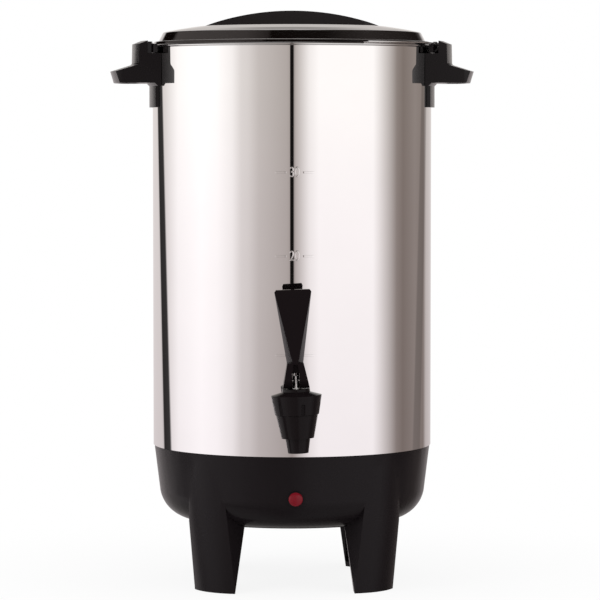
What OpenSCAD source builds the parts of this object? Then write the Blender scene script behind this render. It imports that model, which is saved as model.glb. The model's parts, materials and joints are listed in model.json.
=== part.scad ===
// Percolating coffee urn: a steel tank on a moulded four-legged base, with a
// twist-on lid, two side handles, a lever tap and a pump and basket set inside.
// Millimetres. +Z is up, the tap faces -Y, and the origin is where the tank's
// axis meets the table.

/* [Tank] */
// Outside diameter of the steel tank
tank_d = 180; // [150:1:230]
// Height of the tank's rim above the table
rim_z = 346; // [290:1:420]
// Thickness of the steel
tank_wall = 0.8; // [0.6:0.1:1.5]
// Radius of the rolled bead round the rim
bead_r = 1.6; // [1:0.1:2.5]
// Height of the tank's floor above the seam with the base
floor_rise = 5; // [4:0.5:10]
// Inside radius of the pump well in the tank's floor
well_r = 18.5; // [16:0.5:25]
// Depth of the pump well
well_depth = 10; // [8:0.5:14]

/* [Base] */
// Height of the seam between the base and the steel
seam_z = 88.6; // [75:0.2:110]
// Height of the base's underside above the table
under_z = 41.5; // [25:0.5:50]
// Thickness of the base's wall
base_wall = 2.6; // [2:0.1:4]
// How far the base stands back from the steel at the seam
base_inset = 0.6; // [0.3:0.1:2]
// Draft of the base's side
base_draft = 7; // [2:0.5:10]
// Radius of the round lower corner of the base
corner_r = 21; // [16:1:32]
// Radius of the opening that the bottom cover closes
cover_r = 58; // [45:1:62]

/* [Legs] */
// Angle of each front leg from straight ahead
leg_angle = 41.5; // [35:0.5:50]
// Width of a leg where it leaves the base
leg_w = 32.5; // [22:0.5:40]
// Width of a leg at the table
foot_w = 34; // [22:1:40]
// Depth of a leg where it leaves the base
leg_t = 17; // [12:0.5:22]
// Depth of a leg at the table
foot_t = 9; // [7:0.5:16]
// Radius of a leg's rounded outer face
leg_face_r = 34; // [26:1:80]
// How far the feet stand in from the tank's side
foot_inset = 9.3; // [3:0.1:20]
// Wall left round the pocket in the back of a leg
leg_wall = 3.2; // [2.5:0.1:5]

/* [Lid] */
// Height of the lid's crest above the rim
lid_h = 12.4; // [9:0.1:20]
// Thickness of the lid's steel
lid_wall = 0.8; // [0.6:0.1:1.2]
// Radius of the lid's crest
crest_r = 58; // [50:1:64]
// Radius of the finger dish in the lid
dish_r = 43; // [34:1:46]
// Depth of the finger dish below the crest
dish_depth = 19.5; // [15:0.5:22]
// Length of the hook that the lid turns under
hook_l = 30.4; // [20:0.1:32]
// Thickness of the soft ring under the lid
seal_t = 0.9; // [0.6:0.1:1.5]

/* [Lid grip] */
// Height of the arched grip's top above the rim
grip_top = 22.8; // [20:0.1:32]
// Length of the grip
grip_l = 118; // [104:1:128]
// Width of the grip
grip_w = 29; // [20:1:36]
// Thickness of the grip's top
grip_t = 5; // [4:0.5:7]
// Thickness of the grip's two sides
grip_wall = 3; // [2:0.5:5]
// Radius of the grip's arch
grip_arch = 160; // [140:5:260]

/* [Side handles] */
// How far the handles reach out from the steel
handle_reach = 27.4; // [22:0.2:40]
// Width of a handle
handle_w = 66; // [50:1:80]
// Width of the tail that hugs the tank
tail_w = 57; // [40:1:70]
// Length of the tail below the grip
tail_l = 15.6; // [8:0.2:30]
// Thickness of the grip at the tower
handle_t = 11.6; // [9:0.2:16]
// How far the underside of the grip is below the rim
handle_drop = 23.6; // [20:0.2:36]
// Outside of the tower, from the steel
tower_reach = 13.5; // [12.5:0.1:18]
// Thickness of the tower's wall
tower_wall = 5.3; // [3:0.1:5.5]

/* [Tap] */
// Height of the tap's shank above the seam
tap_rise = 23.3; // [19:0.1:45]
// Distance from the steel to the tap's axis
tap_reach = 36; // [30:0.5:50]
// How far the tap is turned on its shank
tap_lean = 2; // [-6:0.5:6]
// Outside diameter of the shank
shank_d = 16; // [14:0.5:20]
// Radius of the spout's outlet
outlet_r = 4.6; // [3.5:0.1:5.2]
// Radius of the valve chamber
chamber_r = 8.6; // [8:0.1:9]
// Outside radius of the bonnet
bonnet_r = 15.6; // [14:0.1:20]
// Notches round the bonnet
bonnet_notches = 14; // [8:1:24]
// Radius of the stem
stem_r = 2; // [1.5:0.1:2.5]
// Length of the lever above its pin
lever_l = 55.6; // [40:0.1:75]
// Width of the lever at its top
lever_top_w = 22.5; // [14:0.5:30]
// Width of the lever at its waist
lever_waist_w = 10.1; // [9.6:0.1:14]
// Width of the lever at its foot
lever_foot_w = 16.3; // [13:0.1:18]
// How far the lever tips forward to open the tap
lever_swing = 70; // [45:5:80]
// Lift of the stem for each radian that the lever tips
cam_rate = 3; // [2:0.1:3.5]

/* [Pump and basket] */
// Radius of the pump tube
tube_r = 5; // [4:0.1:7]
// Radius of the basket
basket_r = 58; // [45:1:66]
// Height of the basket
basket_h = 55; // [35:1:80]
spreader_lip = 2.4; // [1:0.1:5]
// How far the top of the basket is below the rim
basket_drop = 24; // [20:1:40]
// Radius of the perforations
perf_r = 1.6; // [1:0.1:2]

/* [Fits] */
// Gap between parts that move past each other
run_gap = 0.3; // [0.2:0.05:0.5]
// Gap between a part and the one that it rests on
seat_gap = 0.2; // [0.1:0.05:0.3]
// Gap round a screw, pin or stem in its hole
pin_gap = 0.05; // [0.03:0.01:0.1]

/* [Hidden] */
$fn = 96;
eps = 0.01;
big = 400;

tank_r = tank_d / 2;
inner_r = tank_r - tank_wall;
floor_z = seam_z + floor_rise;
well_z = floor_z - well_depth;
bead_z = rim_z - bead_r;
bead_in = inner_r - 0.2;
tap_z = seam_z + tap_rise;

// ---- helpers -------------------------------------------------------------

// A ring or disc between two radii and two heights
module ring(r_in, r_out, z0, z1) {
    difference() {
        translate([0, 0, z0]) cylinder(r = r_out, h = z1 - z0);
        if (r_in > 0)
            translate([0, 0, z0 - 1]) cylinder(r = r_in, h = z1 - z0 + 2);
    }
}

// Part of a ring between two angles, measured from +X
module arc_block(r_in, r_out, z0, z1, a0, a1) {
    rotate([0, 0, a0])
        rotate_extrude(angle = a1 - a0)
            translate([r_in, z0]) square([r_out - r_in, z1 - z0]);
}

// A rod pointing outwards from the axis, at an angle and a height
module radial_rod(r, r0, r1, angle, z) {
    rotate([0, 0, angle])
        translate([r0, 0, z]) rotate([0, 90, 0]) cylinder(r = r, h = r1 - r0);
}

// A rectangle with its four corners rounded
module rounded_rect(x0, x1, y0, y1, r) {
    translate([x0 + r, y0]) square([x1 - x0 - 2 * r, y1 - y0]);
    translate([x0, y0 + r]) square([x1 - x0, y1 - y0 - 2 * r]);
    for (x = [x0 + r, x1 - r], y = [y0 + r, y1 - r])
        translate([x, y]) circle(r = r);
}

// ---- tank ----------------------------------------------------------------

stud_circle = tank_r - 18;
stud_r = 2;
stud_angles = [0, 120, 240];
handle_screw_angle = 11;
handle_screw_r = 2;
handle_screw_z = rim_z - 19;
shank_r = shank_d / 2;

module tank() {
    color("silver")
    difference() {
        union() {
            rotate_extrude() {
                translate([inner_r, seam_z + run_gap])
                    square([tank_wall, bead_z - seam_z - run_gap]);
                translate([tank_r, bead_z]) circle(r = bead_r);
                // floor, with the pump well pressed into its middle
                translate([well_r, floor_z - tank_wall])
                    square([inner_r - well_r + eps, tank_wall]);
                translate([well_r, well_z - tank_wall])
                    square([tank_wall, well_depth + tank_wall - eps]);
                translate([0, well_z - tank_wall]) square([well_r + eps, tank_wall]);
            }
        }
        // tap hole
        radial_rod(shank_r + run_gap, tank_r - 8, tank_r + 8, -90, tap_z);
        // handle screw holes
        for (side = [0, 180], a = [-1, 1])
            radial_rod(handle_screw_r + run_gap, tank_r - 4, tank_r + 4,
                       side + a * handle_screw_angle, handle_screw_z);
    }
}

// ---- base ----------------------------------------------------------------

base_r = tank_r - base_inset;
corner_z = under_z + corner_r;
corner_x = base_r - (seam_z - corner_z) * tan(base_draft) - corner_r / cos(base_draft);
spigot_r = inner_r - run_gap;
spigot_wall = 2.4;
flange_t = 4.6;
rebate = 2;
flange_in = cover_r - 7;
cover_screw_circle = cover_r - 3.6;
cover_screw_r = 1.5;
cover_screw_angles = [60, 180, 300];
stud_boss_z = under_z + 26;
stud_boss_h = 6;
lamp_z = under_z + 20.6;
lamp_r = 4.7;
gland_z = under_z + 24;
gland_r = 8;
gland_bore = 3.6;

// Half outline of the base's outside, moved in by the given amount
module base_outline(inset) {
    r = corner_r - inset;
    tangent_z = corner_z - r * sin(base_draft);
    intersection() {
        translate([corner_x, corner_z]) circle(r = r);
        translate([corner_x, under_z + inset]) square([big, tangent_z - under_z - inset]);
    }
    polygon([
        [0, under_z + inset],
        [corner_x, under_z + inset],
        [corner_x, tangent_z],
        [corner_x + r * cos(base_draft), tangent_z],
        [base_r - inset / cos(base_draft), seam_z],
        [0, seam_z]
    ]);
}

// The outline turned round, begun inside a leg
module bowl(inset) {
    rotate([0, 0, 90 - leg_angle]) rotate_extrude() base_outline(inset);
}

// Outline of a leg seen from above: a rounded outer face and a narrower back
module leg_section(face_r, width, depth, back_w) {
    half = width / 2;
    flank = face_r - leg_face_r + sqrt(leg_face_r * leg_face_r - half * half);
    steps = 10;
    span = asin(half / leg_face_r);
    polygon(concat(
        [for (i = [0 : steps])
            let (a = -span + 2 * span * i / steps)
            [face_r - leg_face_r + leg_face_r * cos(a), leg_face_r * sin(a)]],
        [[flank - depth, back_w / 2], [flank - depth, -back_w / 2]]
    ));
}

// A leg bows outwards from the seam to the underside, and then runs in to the foot
leg_top_z = seam_z - 3;
leg_mid_z = under_z + 3;
module leg() {
    slice = 0.05;
    difference() {
        hull() {
            translate([0, 0, leg_top_z - slice]) linear_extrude(slice)
                leg_section(base_r - 0.4, leg_w * 0.8, leg_t, leg_w * 0.8);
            translate([0, 0, leg_mid_z]) linear_extrude(slice)
                leg_section(base_r - 2.8, leg_w, leg_t, leg_w);
            linear_extrude(slice)
                leg_section(tank_r - foot_inset, foot_w, foot_t, foot_w - 1.7 * foot_t);
        }
        // pocket in the back of the leg
        translate([0, 0, leg_wall]) linear_extrude(under_z - leg_wall)
            polygon([
                [tank_r - foot_inset - leg_wall - 4, foot_w / 2 - leg_wall - 4.5],
                [tank_r - foot_inset - leg_wall - 4, -foot_w / 2 + leg_wall + 4.5],
                [tank_r - foot_inset - 30, -foot_w / 2 + leg_wall + 4.5],
                [tank_r - foot_inset - 30, foot_w / 2 - leg_wall - 4.5]
            ]);
    }
}

leg_angles = [-90 - leg_angle, -90 + leg_angle, 90 - leg_angle, 90 + leg_angle];

module base_shell() {
    color([0.1, 0.09, 0.09])
    difference() {
        union() {
            difference() {
                union() {
                    bowl(0);
                    for (a = leg_angles) rotate([0, 0, a]) leg();
                }
                bowl(base_wall);
            }
            // flange round the bottom opening
            ring(flange_in, corner_x + 4, under_z, under_z + flange_t);
            // spigot that the tank sits over
            rotate_extrude() polygon([
                [base_r - base_wall - 4, seam_z - 8],
                [base_r - base_wall + 0.6, seam_z - 8],
                [spigot_r, seam_z - 2],
                [spigot_r, floor_z - tank_wall - seat_gap],
                [spigot_r - spigot_wall, floor_z - tank_wall - seat_gap],
                [spigot_r - spigot_wall, seam_z - 4]
            ]);
            // bosses that the tank's studs pass through
            intersection() {
                for (a = stud_angles) rotate([0, 0, a])
                    translate([stud_circle - 7, -8, stud_boss_z])
                        cube([40, 16, stud_boss_h]);
                bowl(base_wall / 2);
            }
            // bosses for the cover's screws
            for (a = cover_screw_angles) rotate([0, 0, a])
                translate([cover_screw_circle, 0, under_z + rebate])
                    cylinder(r = 3.4, h = 12);
        }
        // rebate that the cover drops into, and the opening itself
        translate([0, 0, under_z - 1]) cylinder(r = cover_r + run_gap, h = rebate + 1);
        translate([0, 0, under_z - 1]) cylinder(r = flange_in - 2, h = flange_t + 2);
        for (a = stud_angles) rotate([0, 0, a])
            translate([stud_circle, 0, stud_boss_z - 1])
                cylinder(r = stud_r + run_gap, h = stud_boss_h + 2);
        for (a = cover_screw_angles) rotate([0, 0, a])
            translate([cover_screw_circle, 0, under_z])
                cylinder(r = cover_screw_r + pin_gap, h = 10);
        radial_rod(lamp_r - 0.9, tank_r - 14, tank_r + 2, -90, lamp_z);
        radial_rod(gland_r - 1.5, tank_r - 14, tank_r + 2, 90, gland_z);
    }
}

module tank_studs() {
    color("gainsboro")
    for (a = stud_angles) rotate([0, 0, a])
        translate([stud_circle, 0, stud_boss_z - 6])
            cylinder(r = stud_r, h = floor_z - tank_wall - stud_boss_z + 6);
}

module stud_nuts() {
    color("gainsboro")
    for (a = stud_angles) rotate([0, 0, a])
        translate([stud_circle, 0, stud_boss_z - 3.3]) difference() {
            cylinder(r = 4, h = 3.2, $fn = 6);
            translate([0, 0, -1]) cylinder(r = stud_r + pin_gap, h = 6);
        }
}

cover_t = 1.5;
module base_cover() {
    color([0.3, 0.3, 0.31])
    difference() {
        union() {
            translate([0, 0, under_z + rebate - seat_gap - cover_t])
                cylinder(r = cover_r, h = cover_t);
            // stiffening ring pressed into the cover
            ring(flange_in - 12, flange_in - 9, under_z + rebate - seat_gap - eps, under_z + rebate + 1.6);
        }
        for (a = cover_screw_angles) rotate([0, 0, a])
            translate([cover_screw_circle, 0, under_z - 2])
                cylinder(r = cover_screw_r + 0.3, h = 6);
        // vent slots
        for (i = [-3 : 3])
            translate([-14, i * 7 - 1.3, under_z - 2])
                linear_extrude(8) rounded_rect(0, 28, 0, 2.6, 1.25);
    }
}

module cover_screws() {
    color("gainsboro")
    for (a = cover_screw_angles) rotate([0, 0, a])
        translate([cover_screw_circle, 0, under_z + rebate - seat_gap - cover_t - 1.1]) {
            cylinder(r = 2.9, h = 1.05);
            cylinder(r = cover_screw_r, h = 9);
        }
}

// The lens is a domed cap with a barrel that goes through the base's wall
lamp_face_r = base_r - (seam_z - lamp_z) * tan(base_draft);
lamp_stand = lamp_r * tan(base_draft) - lamp_r * lamp_r / tank_d;
module indicator_lens() {
    color([0.7, 0.1, 0.12])
    rotate([0, 0, -90]) translate([0, 0, lamp_z]) rotate([0, 90, 0])
        rotate_extrude() {
            intersection() {
                translate([0, lamp_face_r - 2.2]) circle(r = lamp_r);
                translate([0, lamp_face_r + lamp_stand]) square([big, 10]);
            }
            translate([0, lamp_face_r - 9]) square([lamp_r - 1, 9.5]);
        }
}

module lamp_holder() {
    color("dimgray")
    rotate([0, 0, -90]) translate([0, 0, lamp_z]) rotate([0, 90, 0])
        translate([0, 0, lamp_face_r - 21]) difference() {
            cylinder(r = lamp_r + 0.6, h = 14.6);
            translate([0, 0, 11.5]) cylinder(r = lamp_r - 1 + pin_gap, h = 10);
        }
}

// A bush for the supply cord, clipped in the back wall
gland_face_r = base_r - (seam_z - gland_z) * tan(base_draft);
gland_stand = gland_r * tan(base_draft) + 0.06;
module cord_gland() {
    color([0.12, 0.12, 0.12])
    rotate([0, 0, 90]) translate([0, 0, gland_z]) rotate([0, 90, 0])
        difference() {
            union() {
                translate([0, 0, gland_face_r - 8]) cylinder(r = gland_r - 1.5 - pin_gap, h = 8.2 + gland_stand);
                translate([0, 0, gland_face_r + gland_stand]) cylinder(r = gland_r, h = 2.1);
            }
            translate([0, 0, gland_face_r - 10]) cylinder(r = gland_bore, h = 20);
        }
}

// ---- heating parts -------------------------------------------------------

element_r = 3.2;
element_ring = well_r + 18;
under_floor = floor_z - tank_wall;
plate_t = 3;
plate_z = under_floor - seat_gap - plate_t;
element_z = plate_z - element_r;

module heater_plate() {
    color("lightgray")
    difference() {
        ring(well_r + tank_wall + 1.2, element_ring + 8, plate_z, plate_z + plate_t);
        // groove that the element lies in
        translate([0, 0, element_z]) rotate_extrude()
            translate([element_ring, 1.6]) circle(r = element_r + 2 * pin_gap);
    }
}

module heating_element() {
    color("dimgray") {
        translate([0, 0, element_z + 1.6]) rotate([0, 0, 105]) rotate_extrude(angle = 330)
            translate([element_ring, 0]) circle(r = element_r);
        // terminals turn down beside the gap in the ring
        for (a = [105, 75]) rotate([0, 0, a])
            translate([element_ring, 0, element_z - 14])
                cylinder(r = 2.2, h = 14 + 1.6);
    }
}

// Three arms hold the element up; the cup between them holds the thermostat
clamp_z = element_z + 1.6 - element_r - seat_gap;
clamp_t = 1.5;
clamp_cup_r = well_r + tank_wall + 1.2;
cap_z = well_z - tank_wall - seat_gap;
cup_z = cap_z - 2.2 - seat_gap - clamp_t;
module heater_clamp() {
    color("silver")
    difference() {
        union() {
            for (a = [0, 120, 240]) rotate([0, 0, a + 30])
                translate([clamp_cup_r + 0.5, -6, clamp_z - clamp_t])
                    cube([element_ring + 6 - clamp_cup_r, 12, clamp_t]);
            ring(clamp_cup_r, clamp_cup_r + clamp_t, cup_z, clamp_z);
            ring(6.6, clamp_cup_r + clamp_t, cup_z, cup_z + clamp_t);
        }
        ring(0, 6.6, cup_z - 1, clamp_z);
    }
}

module thermostat() {
    color("gainsboro")
    translate([0, 0, cap_z]) {
        translate([0, 0, -2.2]) cylinder(r = 9, h = 2.2);
        translate([0, 0, -11]) cylinder(r = 6.2, h = 9);
        for (s = [-1, 1]) translate([s * 4 - 0.4, -3, -18]) cube([0.8, 6, 7 + eps]);
    }
}

module thermal_fuse() {
    color("tan")
    translate([0, -element_ring + 6, clamp_z - clamp_t - seat_gap - 2.4]) rotate([0, 90, 0]) {
        translate([0, 0, -8]) cylinder(r = 2.4, h = 16);
        translate([0, 0, -16]) cylinder(r = 0.6, h = 32);
    }
}

module terminal_block() {
    color("ivory")
    translate([-17, 34, under_z + flange_t + 0.2]) difference() {
        cube([34, 14, 12]);
        for (i = [0 : 2]) translate([6 + i * 11, 7, 5]) cylinder(r = 2.6, h = 10);
        for (i = [0 : 1]) translate([10.5 + i * 11, -1, 8]) cube([2, 16, 6]);
    }
}

// ---- side handles --------------------------------------------------------

handle_in = tank_r + seat_gap;
handle_r = tank_r + handle_reach;
tower_out = tank_r + tower_reach;
tower_in = tower_out - tower_wall;
tower_top = rim_z + 3.2;
handle_under = rim_z - handle_drop;
channel_z = rim_z - bead_r * 2 - 1.6;
tail_t = 2;
hook_reach = 2.6;
lid_turn = asin(hook_l / tower_in);
hook_z = channel_z + 4;
ear_in = tank_r + bead_r + 0.6;
ear_out = tower_in - hook_reach - 0.6;

// The handle is built on the +X side; the other one is the same, turned half round
module handle() {
    difference() {
        union() {
            // tower and grip, cut to the handle's outline as seen from above
            intersection() {
                rotate([0, 0, -30]) rotate_extrude(angle = 60) polygon([
                    [handle_in, handle_under - 2],
                    [handle_in + tail_t, handle_under - 2],
                    [handle_in + tail_t + 2, handle_under],
                    [handle_r - 2.2, handle_under],
                    [handle_r, handle_under + handle_t - 4.2],
                    [tower_out + 0.6, handle_under + handle_t],
                    [tower_out, handle_under + handle_t + 1],
                    [tower_out - 0.3, tower_top - 2],
                    [tower_in, tower_top],
                    [tower_in, channel_z],
                    [handle_in, channel_z]
                ]);
                translate([0, 0, handle_under - 5]) linear_extrude(60)
                    rounded_rect(40, handle_r + 0.2, -handle_w / 2, handle_w / 2, 9);
            }
            // tail that hugs the tank, with bevelled edges
            intersection() {
                arc_block(handle_in, handle_in + tail_t,
                          handle_under - tail_l, handle_under + 1, -30, 30);
                translate([0, 0, handle_under - tail_l]) linear_extrude(tail_l + 2)
                    polygon([
                        [tank_r / 2, -tail_w / 2 - 6], [tank_r, -tail_w / 2 + 0.6],
                        [tank_r, -tail_w / 2], [handle_r, -tail_w / 2 - 2],
                        [handle_r, tail_w / 2 + 2], [tank_r, tail_w / 2],
                        [tank_r, tail_w / 2 - 0.6], [tank_r / 2, tail_w / 2 + 6]
                    ]);
            }
            // hook over the lid's tongue, and the stop at its end
            arc_block(tower_in - hook_reach, tower_in + 0.5, hook_z, tower_top - 0.6,
                      1, lid_turn + 0.4);
            arc_block(tower_in - hook_reach - 0.2, tower_in + 0.7, channel_z - 0.5, tower_top - 0.9,
                      lid_turn - 0.4, lid_turn + 1.2);
        }
        // hollows under the grip, with ribs between them
        for (a = [-10, 0, 10])
            arc_block(tower_out - 3, handle_r - 5, handle_under - 1,
                      handle_under + handle_t - 7, a - 4.4, a + 4.4);
        // pilot holes for the screws from inside the tank
        for (a = [-1, 1])
            radial_rod(handle_screw_r + pin_gap, handle_in - 3, handle_in + 9,
                       a * handle_screw_angle, handle_screw_z);
    }
}

module handle_right() { color([0.1, 0.1, 0.1]) handle(); }
module handle_left() { color([0.1, 0.1, 0.1]) rotate([0, 0, 180]) handle(); }

washer_r = 5.5;
washer_t = 1.2;
// Soft washers that follow the inside of the tank
module handle_washers() {
    color("dimgray")
    for (side = [0, 180], a = [-1, 1]) difference() {
        intersection() {
            radial_rod(washer_r, tank_r - 6, tank_r + 1, side + a * handle_screw_angle, handle_screw_z);
            translate([0, 0, handle_screw_z - 10]) cylinder(r = inner_r - pin_gap, h = 20, $fn = 720);
        }
        radial_rod(washer_r + 1, tank_r - 12, inner_r - 0.3 - washer_t,
                   side + a * handle_screw_angle, handle_screw_z);
        radial_rod(handle_screw_r + 0.2, tank_r - 12, tank_r + 2,
                   side + a * handle_screw_angle, handle_screw_z);
    }
}

module handle_screws() {
    color("gainsboro")
    for (side = [0, 180], a = [-1, 1]) {
        radial_rod(handle_screw_r, inner_r - 3.6, handle_in + 8,
                   side + a * handle_screw_angle, handle_screw_z);
        radial_rod(3.8, inner_r - 3.6, inner_r - 0.35 - washer_t,
                   side + a * handle_screw_angle, handle_screw_z);
    }
}

// ---- lid -----------------------------------------------------------------

seal_z = rim_z + seat_gap;
flange_z = seal_z + seal_t + 0.15;
flange_top = flange_z + lid_wall;
crest_z = rim_z + lid_h;
dish_z = crest_z - dish_depth;
ledge_z = crest_z - 6;
skirt_r = tank_r - 4.1;
shoulder_r = tank_r - 7.8;
ledge_r = crest_r - 7;
ear_half = asin((hook_l + 4) / tower_in);
tongue_z = hook_z - run_gap * 2;

// Half outline of the lid's pressed sheet, seen from outside
lid_profile = [
    [tank_r - 0.4, flange_top],
    [skirt_r + 1.1, flange_top],
    [skirt_r, flange_top + 0.7],
    [shoulder_r + 1.3, crest_z - 4.5],
    [shoulder_r, crest_z - 3.5],
    [shoulder_r - 6.6, crest_z - 2.6],
    [crest_r + 8, crest_z - 1],
    [crest_r + 3, crest_z - 0.2],
    [crest_r, crest_z],
    [crest_r - 3, crest_z - 0.4],
    [crest_r - 5.4, crest_z - 2.4],
    [ledge_r, ledge_z],
    [dish_r + 1.5, ledge_z - 0.6],
    [dish_r, ledge_z - 2.5],
    [dish_r - 1.8, dish_z + 3],
    [dish_r - 4.4, dish_z + 0.6],
    [dish_r - 10, dish_z],
    [0, dish_z]
];

// The underside is the same outline moved inwards along each corner's bisector
function unit(v) = v / norm(v);
function side_normal(p, q) = let (d = unit(q - p)) [d[1], -d[0]];
function corner_offset(pts, i, t) =
    let (n = len(pts),
         before = i > 0 ? side_normal(pts[i - 1], pts[i]) : side_normal(pts[0], pts[1]),
         after = i < n - 1 ? side_normal(pts[i], pts[i + 1]) : side_normal(pts[n - 2], pts[n - 1]),
         m = unit(before + after))
    pts[i] - m * t / (m * before);
function offset_path(pts, t) = [for (i = [0 : len(pts) - 1]) corner_offset(pts, i, t)];
function backwards(v) = [for (i = [len(v) - 1 : -1 : 0]) v[i]];

spigot_out = bead_in - 1;
rivet_circle = (ear_in + ear_out) / 2;
rivet_angles = [-13, 13];
rivet_r = 1;

module lid_shell() {
    color("lightgray")
    difference() {
        union() {
            rotate_extrude() {
                polygon(concat(lid_profile, backwards(offset_path(lid_profile, lid_wall))));
                // locating ring that drops inside the tank
                translate([spigot_out - 0.9, rim_z - 5]) square([0.9, 5 + flange_top - rim_z - 0.2]);
            }
            for (side = [0, 180])
                arc_block(tank_r - 1.5, ear_out + 0.2, flange_z, flange_top,
                          side - ear_half, side + ear_half);
        }
        for (side = [0, 180], a = rivet_angles) rotate([0, 0, side + a])
            translate([rivet_circle, 0, flange_z - 1]) cylinder(r = rivet_r + pin_gap, h = 4);
        for (s = [-1, 1])
            translate([s * grip_boss_x, 0, ledge_z - 4]) cylinder(r = grip_screw_r + 0.3, h = 8);
    }
}

module lid_seal() {
    color([0.25, 0.25, 0.25]) ring(spigot_out + run_gap, tank_r + 0.4, seal_z, seal_z + seal_t);
}

// Each ear hangs outside the bead; the tongue on one half goes under the handle's hook
module lid_ears() {
    color([0.1, 0.1, 0.1])
    for (side = [0, 180]) difference() {
        union() {
            arc_block(ear_in, ear_out, channel_z + 0.5, flange_z - 0.1,
                      side - ear_half, side + ear_half);
            arc_block(ear_out - eps, tower_in - run_gap * 2, channel_z + 0.5, tongue_z,
                      side - lid_turn, side - 1);
        }
        for (a = rivet_angles) rotate([0, 0, side + a])
            translate([rivet_circle, 0, flange_z - 4]) cylinder(r = rivet_r + pin_gap, h = 5);
    }
}

module lid_rivets() {
    color("gainsboro")
    for (side = [0, 180], a = rivet_angles) rotate([0, 0, side + a])
        translate([rivet_circle, 0, 0]) {
            translate([0, 0, flange_z - 3.6]) cylinder(r = rivet_r, h = 3.6 + lid_wall + 0.1);
            translate([0, 0, flange_top + 0.05]) cylinder(r1 = 1.7, r2 = 1.1, h = 0.7);
        }
}

grip_boss_x = (ledge_r + dish_r + 1.5) / 2;
grip_screw_r = 1.5;
grip_z = rim_z + grip_top;

// The part of a round bar across the lid that is above a given height
module grip_bow(r, width, foot_z) {
    translate([0, width / 2, 0]) rotate([90, 0, 0]) linear_extrude(width) difference() {
        translate([0, grip_z - grip_arch]) circle(r = r, $fn = 360);
        translate([-big, foot_z - big]) square([2 * big, big]);
    }
}

module lid_grip() {
    color([0.1, 0.1, 0.1])
    difference() {
        union() {
            difference() {
                // arched body, rounded as seen from above
                intersection() {
                    grip_bow(grip_arch, grip_w + 2, crest_z - 1.5);
                    translate([0, 0, crest_z - 5]) linear_extrude(40)
                        rounded_rect(-grip_l / 2, grip_l / 2, -grip_w / 2, grip_w / 2, 13.5);
                }
                // room for the fingers between its sides
                grip_bow(grip_arch - grip_t, grip_w - 2 * grip_wall, crest_z - 3);
            }
            for (s = [-1, 1])
                translate([s * grip_boss_x, 0, ledge_z + seat_gap])
                    cylinder(r = 3.6, h = grip_z - ledge_z - 9);
        }
        // seat that follows the lid
        rotate_extrude() polygon(concat(
            [for (p = lid_profile) p + [0, seat_gap]], [[0, rim_z - 20], [tank_r, rim_z - 20]]
        ));
        for (s = [-1, 1])
            translate([s * grip_boss_x, 0, ledge_z - 2]) cylinder(r = grip_screw_r + pin_gap, h = 9);
    }
}

module grip_screws() {
    color("gainsboro")
    for (s = [-1, 1])
        translate([s * grip_boss_x, 0, ledge_z - lid_wall - 2.6]) {
            cylinder(r = 2.8, h = 1.6);
            cylinder(r = grip_screw_r, h = 9);
        }
}

// ---- tap -----------------------------------------------------------------

// Heights on the tap are measured from the shank's axis
spout_z = -16.5;
spout_top = -7.3;
body_top = 7;
neck_top = 12.8;
roof_z = 19;
neck_z = 21;
collar_z = 23;
pin_z = 28;
seat_z = -5.2;
cup_t = 5.4;
stem_top = pin_z + 2.8;
pin_r = 1.25;
cam_d = pin_z - collar_z - run_gap;
fork_gap = stem_r * 2 + 0.6;
flange_reach = 4.2;

module at_tap() {
    translate([0, -tank_r - tap_reach, tap_z]) rotate([0, -tap_lean, 0]) children();
}

// A rod along Y on the tap, from one distance behind its axis to another
module back_rod(r, y0, y1) {
    translate([0, y0, 0]) rotate([-90, 0, 0]) cylinder(r = r, h = y1 - y0);
}

module tap_body() {
    color([0.1, 0.1, 0.1])
    at_tap() difference() {
        union() {
            rotate_extrude() polygon([
                [0, spout_z], [6.3, spout_z], [7.7, spout_top], [10, spout_top],
                [12.9, body_top], [chamber_r + 2.2, body_top],
                [chamber_r + 2.2, neck_top], [0, neck_top]
            ]);
            back_rod(body_top - seat_gap, 0, bonnet_r + 2);
            back_rod(shank_r, bonnet_r + 1.5, tap_reach + 12);
            back_rod(shank_r + 4, tap_reach - flange_reach - 2.6, tap_reach - flange_reach);
        }
        // valve chamber, outlet and the way in from the tank
        translate([0, 0, seat_z]) cylinder(r = chamber_r, h = 40);
        translate([0, 0, spout_z - 1]) cylinder(r = outlet_r, h = 30);
        back_rod(outlet_r, 0, tap_reach + 14);
    }
}

// The gasket between tap and tank follows the tank's side
module tap_gasket() {
    color("gainsboro")
    difference() {
        radial_rod(shank_r + 3.6, tank_r - 6, tank_r + flange_reach - 0.1, -90, tap_z);
        radial_rod(shank_r + pin_gap, tank_r - 8, tank_r + 10, -90, tap_z);
        translate([0, 0, tap_z - 30]) cylinder(r = tank_r + pin_gap, h = 60, $fn = 720);
    }
}

gasket_in = inner_r - 3.2;
module tank_gasket() {
    color("gainsboro")
    difference() {
        intersection() {
            radial_rod(shank_r + 3.6, gasket_in, tank_r + 2, -90, tap_z);
            translate([0, 0, tap_z - 30]) cylinder(r = inner_r - pin_gap, h = 60, $fn = 720);
        }
        radial_rod(shank_r + pin_gap, tank_r - 20, tank_r + 10, -90, tap_z);
    }
}

nut_h = 5;
module tap_nut() {
    color("gainsboro")
    at_tap() difference() {
        translate([0, tap_reach + tank_r - gasket_in + 0.1, 0]) rotate([-90, 0, 0])
            cylinder(r = shank_r * 1.45, h = nut_h, $fn = 6);
        back_rod(shank_r + pin_gap, 0, 90);
    }
}

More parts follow.
